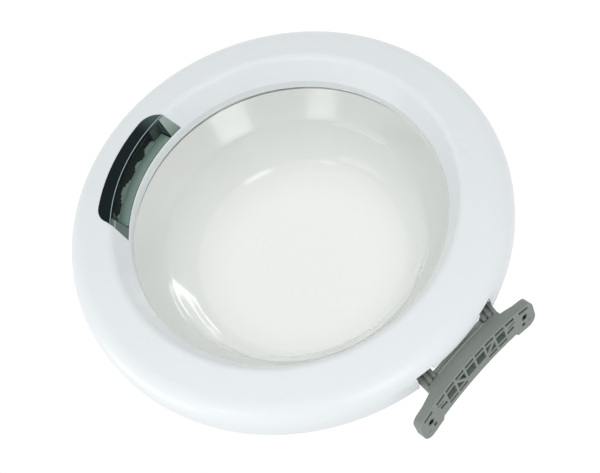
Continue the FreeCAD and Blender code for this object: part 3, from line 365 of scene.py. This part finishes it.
def smoked_moulding():
    """Near-black moulding with a painted highlight line along its crest, paler at its lower end."""
    material = surface("smoked_moulding", (0.003, 0.010, 0.012), 0.16, spread=0.05, tone=0.12, bump=0.02)
    tree = material.node_tree
    feed(tree, tree.nodes["Principled BSDF"], {"Specular IOR Level": 0.07})
    reach, angle = radial(tree)
    lower = ramp_between(tree, angle, GRIP_ANGLE - 0.22, GRIP_ANGLE - 0.42)
    blend_base(material, lower, (0.085, 0.13, 0.128))
    # Painted highlight: a thin pale line along the crest
    blend_base(material, near(tree, reach, CREST_LINE, 0.32), PAINTED_HIGHLIGHT)
    return material


def light_smoked_moulding():
    """The thin floor and ends, with painted light as if light came through them, a blocky painted shade on
    the floor, painted highlight lines and dark painted shadow lines at the ends.
    """
    material = surface("light_smoked_moulding", (0.185, 0.27, 0.235), 0.2, spread=0.06, tone=0.12, bump=0.02)
    tree = material.node_tree
    feed(tree, tree.nodes["Principled BSDF"], {"Specular IOR Level": 0.2})
    reach, angle = radial(tree)
    low_end, high_end = GRIP_ANGLE - RECESS, GRIP_ANGLE + RECESS
    # Painted light and shade on the end wedges: paler at the low end away from the axis, darker at the high
    # end
    low = ramp_between(tree, angle, low_end + 0.01, low_end - 0.01)
    far = ramp_between(tree, reach, 162, 172)
    blend_base(material, product(tree, low, far), (0.33, 0.40, 0.375))
    high = ramp_between(tree, angle, high_end - 0.01, high_end + 0.01)
    blend_base(material, high, (0.12, 0.17, 0.155))
    # Painted highlight lines along both ends
    lines = near(tree, reach, END_LINE, 0.4)
    for end in (high, low):
        blend_base(material, product(tree, lines, end), PAINTED_HIGHLIGHT)
    # Painted shade on the recess floor, beyond an edge that steps in blocks along the grip
    teeth = add(tree, "ShaderNodeTexNoise", noise_dimensions="1D")
    feed(tree, teeth, {"W": angle, "Scale": 9, "Detail": 0})
    edge = add(tree, "ShaderNodeMapRange", {
        "Value": teeth.outputs["Fac"],
        "From Min": 0.3,
        "From Max": 0.7,
        "To Min": SHADE_NEAR,
        "To Max": SHADE_FAR,
        "Steps": 3,
    }, interpolation_type="STEPPED")
    past = calculate(tree, "SUBTRACT", reach, edge.outputs["Result"])
    behind = ramp_between(tree, past, -0.4, 0.4)
    inside = near(tree, angle, GRIP_ANGLE, RECESS)
    # Painted light: the recess floor is paler than its own colour, standing for light through the plastic
    blend_base(material, inside, (0.34, 0.49, 0.43))
    # Painted shade beyond the stepped edge
    blend_base(material, product(tree, behind, inside), (0.045, 0.06, 0.054))
    # Painted shadow: thin dark lines where the recess's end walls meet its floor
    for end in (low_end, high_end):
        blend_base(material, near(tree, angle, end, 0.007), (0.012, 0.018, 0.016))
    return material


def grey_moulding():
    """Grey moulding with painted highlights on its edges, painted shade on the arms and painted light on the
    thin web between them.
    """
    material = surface("grey_moulding", (0.205, 0.235, 0.212), 0.48, tone=0.05, grain=700, bump=0.12)
    tree = material.node_tree
    # Painted highlight along edges: paler where the softened normal turns away from the true one
    shape = add(tree, "ShaderNodeNewGeometry")
    soften = add(tree, "ShaderNodeBevel", {"Radius": 0.0007}, samples=8)
    normals = {0: shape.outputs["Normal"], 1: soften.outputs["Normal"]}
    align = add(tree, "ShaderNodeVectorMath", normals, operation="DOT_PRODUCT")
    edge_highlight = ramp_between(tree, align.outputs["Value"], 0.995, 0.9)
    blend_base(material, edge_highlight, (0.30, 0.345, 0.315))
    split = add(tree, "ShaderNodeSeparateXYZ", {0: object_place(tree)})
    across, upright = split.outputs["X"], split.outputs["Z"]
    # Painted shade on the arms, which lie in the ring's notches
    arm_shade = ramp_between(tree, across, -0.227, -0.216)
    blend_base(material, arm_shade, (0.06, 0.075, 0.067))
    # Painted light on the thin web between the arms, which lies in shade
    inner = ramp_between(tree, across, -0.2268, -0.2258)
    between = near(tree, upright, 0, 0.0324)
    blend_base(material, product(tree, inner, between), (0.40, 0.46, 0.42))
    return material


WHITE = surface("white_moulding", (0.785, 0.825, 0.845), 0.30, tone=0.006, grain=1400, bump=0.03)
PALE = surface("pale_moulding", (0.70, 0.71, 0.72), 0.5, tone=0.03, bump=0.08)
DARK = surface("dark_moulding", (0.045, 0.052, 0.05), 0.5, tone=0.12, bump=0.1)
ZINC = surface("zinc_plate", (0.62, 0.62, 0.60), 0.32, spread=0.1, tone=0.08, metal=1.0)
STEEL = surface("ground_steel", (0.56, 0.57, 0.58), 0.25, spread=0.08, tone=0.05, metal=1.0)
SLEEVE = surface("blackened_steel", (0.13, 0.14, 0.135), 0.42, spread=0.08, tone=0.1, metal=1.0)
SPRING = surface("spring_wire", (0.40, 0.41, 0.42), 0.35, tone=0.08, metal=1.0)
BUSH = surface("bush_moulding", (0.10, 0.10, 0.10), 0.45, tone=0.08)
GLASS = pressed_glass()
GROUND = surface("ground_glass_edge", (0.72, 0.76, 0.73), 0.5, tone=0.04, bump=0.05, edge=0)
GREY = grey_moulding()
DEEP = surface("deep_smoked_moulding", (0.05, 0.068, 0.062), 0.28, spread=0.08, tone=0.3, bump=0.03)
SMOKED = smoked_moulding()
LIGHT_SMOKED = light_smoked_moulding()


def dress(piece, body, material, node):
    """Hang a new piece on its body in place of the solid it stands for."""
    piece.data.materials.clear()
    piece.data.materials.append(material)
    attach(piece, body)
    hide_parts(node)


# Front ring

def inner_crest():
    """Where the undersides of the ring's inner slope and of its front face meet."""
    rise = (CREST[1] - LIP[1]) / (CREST[0] - LIP[0])
    fall = (SHOULDER[1] - CREST[1]) / (SHOULDER[0] - CREST[0])
    radius = CREST[0] + RING_WALL * (math.hypot(1, rise) - math.hypot(1, fall)) / (rise - fall)
    return radius, height_on(CREST, SHOULDER, radius, RING_WALL)


def ring_profile():
    """The ring's hollow section: the front faces, the seat of the glass and the undersides."""
    hollow_outer = RING_RADIUS - RING_WALL
    hollow_inner = OPENING_RADIUS + RING_WALL
    return rounded([
        (RING_RADIUS, 0.0),
        (*SHOULDER, SHOULDER_ROUND),
        (*CREST, CREST_ROUND),
        (*LIP, LIP_ROUND),
        (OPENING_RADIUS, SEAT_HEIGHT),
        (hollow_inner, SEAT_HEIGHT),
        (hollow_inner, height_on(LIP, CREST, hollow_inner, RING_WALL)),
        (*inner_crest(), CREST_ROUND - RING_WALL),
        (hollow_outer, height_on(CREST, SHOULDER, hollow_outer, RING_WALL), SHOULDER_ROUND - RING_WALL),
        (hollow_outer, 0.0),
    ], 20)


def window_outline(margin):
    """Outline of the grip's window in the ring, smaller by a margin all round."""
    inner, outer = WINDOW_INNER + margin, WINDOW_OUTER - margin
    half, corner = WINDOW_HALF - margin, WINDOW_CORNER - margin
    start = Vector((math.sqrt(inner ** 2 - half ** 2), half))
    along = Vector((math.cos(WINDOW_LEAN), -math.sin(WINDOW_LEAN)))
    inward = Vector((-math.sin(WINDOW_LEAN), -math.cos(WINDOW_LEAN)))
    offset = start + inward * corner
    lever = offset.dot(along)
    run = -lever + math.sqrt(lever ** 2 - offset.length_squared + (outer - corner) ** 2)
    centre = offset + along * run
    spread = math.atan2(start.y, start.x)
    reach = math.atan2(centre.y, centre.x)
    top = math.atan2(*(start + along * run - centre).yx)
    upper = sample_arc(centre, corner, top, reach, 12)
    lower = [(x, -y) for x, y in reversed(upper)]
    outer_arc = sample_arc((0, 0), outer, reach, -reach, 48)
    inner_arc = sample_arc((0, 0), inner, -spread, spread, 48)
    return upper + outer_arc[1:-1] + lower + inner_arc


def side_box(end, first, second):
    """A rectangle on the hinge side, from outside the ring to an X, between two values of Z."""
    return [(PAST_RING, first), (end, first), (end, second), (PAST_RING, second)]


ring = lathe("ring", ring_profile(), 360)
combine(ring, turn(prism("window", window_outline(0), LIP[1], BEFORE_RING), GRIP_ANGLE), "DIFFERENCE")
for side in (1, -1):
    notch = side_box(NOTCH_END, side * NOTCH_NEAR, side * NOTCH_FAR)
    combine(ring, prism("notch", notch, BEHIND_RING, NOTCH_HEIGHT), "DIFFERENCE")
relief = side_box(RELIEF_END, -NOTCH_FAR, NOTCH_FAR)
combine(ring, prism("relief", relief, BEHIND_RING, RELIEF_HEIGHT), "DIFFERENCE")
smooth(ring)
dress(ring, "door", WHITE, "front_ring")

# Glass bowl

bowl = lathe("bowl", rounded([
    (0.0, -BOWL_DEPTH),
    (*HEEL, HEEL_ROUND),
    (*THROAT, THROAT_ROUND),
    (MOUTH_RADIUS, SEAT_HEIGHT, MOUTH_ROUND),
    (FLANGE_RADIUS, SEAT_HEIGHT),
    (FLANGE_RADIUS, FLANGE_UNDERSIDE),
    (FLANGE_START, FLANGE_UNDERSIDE),
    (THROAT[0] + GLASS_WALL, THROAT[1] - THROAT_DROP, THROAT_ROUND + GLASS_WALL),
    (HEEL[0] + GLASS_WALL, HEEL[1] - GLASS_WALL, HEEL_ROUND + GLASS_WALL),
    (0.0, -BOWL_DEPTH - GLASS_WALL),
], 18), 288)
smooth(bowl, 50)
dress(bowl, "door", GLASS, "glass_bowl")
bowl.data.materials.append(GROUND)
for face in bowl.data.polygons:
    if math.hypot(face.center.x, face.center.z) > GROUND_START * MM:
        face.material_index = 1

# Grip

grip_inner = WINDOW_INNER + GRIP_GAP
grip_outer = WINDOW_OUTER - GRIP_GAP
floor_edge = height_on(LIP, CREST, grip_inner)
hollow_end = grip_outer - GRIP_WALL

grip = lathe("grip", rounded([
    (grip_inner, LIP[1] + GRIP_GAP),
    (grip_inner, floor_edge),
    (*CREST, GRIP_CREST_ROUND),
    (grip_outer, height_on(CREST, SHOULDER, grip_outer)),
    (grip_outer, GRIP_BACK),
], 10), 160, (-GRIP_SPAN, GRIP_SPAN))
combine(grip, prism("outline", window_outline(GRIP_GAP), 0.0, BEFORE_RING), "INTERSECT")
recess = lathe("recess", [
    (RECESS_START, floor_edge),
    (grip_inner, floor_edge),
    (RECESS_OUTER, RECESS_FLOOR),
    (RECESS_OUTER, RECESS_ROOF),
    (RECESS_START, RECESS_ROOF),
], 120, (-RECESS, RECESS))
combine(grip, recess, "DIFFERENCE")
hollow = lathe("hollow", [
    (CREST[0], RECESS_FLOOR),
    (hollow_end, RECESS_FLOOR),
    (hollow_end, height_on(CREST, SHOULDER, hollow_end, GRIP_WALL)),
    (CREST[0], RECESS_ROOF),
], 100, (-HOLLOW, HOLLOW))
combine(grip, hollow, "DIFFERENCE")
turn(grip, GRIP_ANGLE)
smooth(grip)


def grip_zone(face):
    """A face's material: 0 for the dark shell, 1 for the thin floor and ends, 2 for the recess's walls."""
    middle = face.center
    reach = math.hypot(middle.x, middle.z) / MM
    off = abs(math.atan2(middle.z, middle.x) - GRIP_ANGLE)
    height = -middle.y / MM
    on_floor = face.normal.y < -0.8 and 163 < reach < 188.2 and height < 17.5
    on_wedge = off > RECESS and reach < 174.2 and height < 38.6 and face.normal.y < -0.2
    in_recess = off < RECESS + 0.001 and 173.5 < reach < 189 and 13 < height < 37.7
    if on_floor or on_wedge:
        return 1
    return 2 if in_recess else 0


dress(grip, "door", SMOKED, "handle_grip")
grip.data.materials.append(LIGHT_SMOKED)
grip.data.materials.append(DEEP)
for face in grip.data.polygons:
    face.material_index = grip_zone(face)

# Pieces that keep their solids

KEPT = {
    "rear_ring": PALE, "rear_ring_screws": ZINC, "latch_holder": DARK, "latch_holder_screws": ZINC,
    "latch_hook": ZINC, "latch_pin": STEEL, "latch_pin_clips": STEEL, "latch_spring": SPRING,
    "hinge_carrier": ZINC, "hinge_carrier_screws": ZINC, "hinge_pin_upper": STEEL, "hinge_pin_lower": STEEL,
    "hinge_bush_upper": BUSH, "hinge_bush_lower": BUSH, "hinge_leaf": GREY,
    "mount_sleeve_upper": SLEEVE, "mount_sleeve_lower": SLEEVE,
}
for node, material in KEPT.items():
    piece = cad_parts[node]
    piece.data.materials.clear()
    piece.data.materials.append(material)

# Floor and sky, in metres

FLOOR_HEIGHT = -0.7
FLOOR_HALF = 9
FLOOR_COLOUR = (0.9, 0.9, 0.9)
FLOOR_SHOWN = 0.34
SKY_BEHIND = 0.38
SKY_BEFORE = 0.96


def floor_paper():
    """Plain pale paper, brighter for the camera and for what gloss and glass show, which keeps the shadow."""
    material = bpy.data.materials.new("floor_paper")
    material.use_nodes = True
    tree = material.node_tree
    tree.nodes.clear()
    plain = add(tree, "ShaderNodeBsdfDiffuse", {"Color": (*FLOOR_COLOUR, 1)})
    level = product(tree, seen_rays(tree), FLOOR_SHOWN)
    glow = add(tree, "ShaderNodeEmission", {"Color": (1, 1, 1, 1), "Strength": level})
    both = add(tree, "ShaderNodeAddShader", {0: plain.outputs[0], 1: glow.outputs[0]})
    add(tree, "ShaderNodeOutputMaterial", {"Surface": both.outputs[0]})
    return material


def light_sky(world):
    """White where it is seen, and as a light stronger from the front than from behind."""
    world.use_nodes = True
    tree = world.node_tree
    way = add(tree, "ShaderNodeTexCoord").outputs["Generated"]
    split = add(tree, "ShaderNodeSeparateXYZ", {0: way})
    light = add(tree, "ShaderNodeMapRange", {
        "Value": split.outputs["Y"],
        "From Min": 1,
        "From Max": -0.35,
        "To Min": SKY_BEHIND,
        "To Max": SKY_BEFORE,
    })
    levels = {"Factor": seen_rays(tree), "A": light.outputs["Result"], "B": 1.0}
    strength = add(tree, "ShaderNodeMix", levels)
    feed(tree, tree.nodes["Background"], {"Color": (1, 1, 1, 1), "Strength": strength.outputs["Result"]})


floor_mesh = bpy.data.meshes.new("floor")
floor_signs = ((-1, -1), (1, -1), (1, 1), (-1, 1))
floor_corners = [(x * FLOOR_HALF, y * FLOOR_HALF, FLOOR_HEIGHT) for x, y in floor_signs]
floor_mesh.from_pydata(floor_corners, [], [(0, 1, 2, 3)])
floor = bpy.data.objects.new("floor", floor_mesh)
bpy.context.scene.collection.objects.link(floor)
floor_mesh.materials.append(floor_paper())

bpy.context.scene.world = bpy.data.worlds.new("studio")
light_sky(bpy.context.scene.world)

# Lamps, in metres and watts. The last two are there for the reflections in the glass

def lamp(name, place, target, size, power):
    data = bpy.data.lights.new(name, "AREA")
    data.shape = "RECTANGLE"
    data.size, data.size_y = size
    data.energy = power
    made = bpy.data.objects.new(name, data)
    bpy.context.scene.collection.objects.link(made)
    made.location = place
    made.visible_camera = False
    made.rotation_euler = (Vector(target) - Vector(place)).to_track_quat("-Z", "Y").to_euler()


lamp("key", place=(0.25, -1.9, 0.6), target=(0, 0, 0), size=(1.1, 0.8), power=0.5)
lamp("top", place=(-0.3, -0.46, 1.2), target=(0.05, 0.03, -0.1), size=(0.42, 0.32), power=0.95)
lamp("side", place=(-1.17, -0.62, 0.34), target=(0.13, 0, -0.03), size=(0.6, 0.5), power=2.5)
lamp("low", place=(0.275, 0.525, -0.505), target=(0.03, 0.07, 0.118), size=(0.17, 0.11), power=0.4)
lamp("arc", place=(0.25, 0.16, 1.1), target=(0.0, 0.07, -0.11), size=(0.3, 0.85), power=1.8)

# Camera: the photo shows the door lying turned, so the camera is turned instead

CAMERA_PLACE = (-0.5561, -1.0249, 0.2833)
CAMERA_RIGHT = (-0.707, 0.196, -0.680)
CAMERA_BACK = (-0.4634, -0.8541, 0.2361)

camera_data = bpy.data.cameras.new("camera")
camera_data.sensor_width = 36
camera_data.lens = 71.2
camera_data.shift_x = 0.01825
camera_data.shift_y = -0.0258
camera = bpy.data.objects.new("camera", camera_data)
bpy.context.scene.collection.objects.link(camera)
back = Vector(CAMERA_BACK).normalized()
up = back.cross(Vector(CAMERA_RIGHT)).normalized()
right = up.cross(back).normalized()
camera.matrix_world = Matrix.Translation(CAMERA_PLACE) @ Matrix((right, up, back)).transposed().to_4x4()
bpy.context.scene.camera = camera
bpy.context.scene.view_settings.view_transform = "Standard"
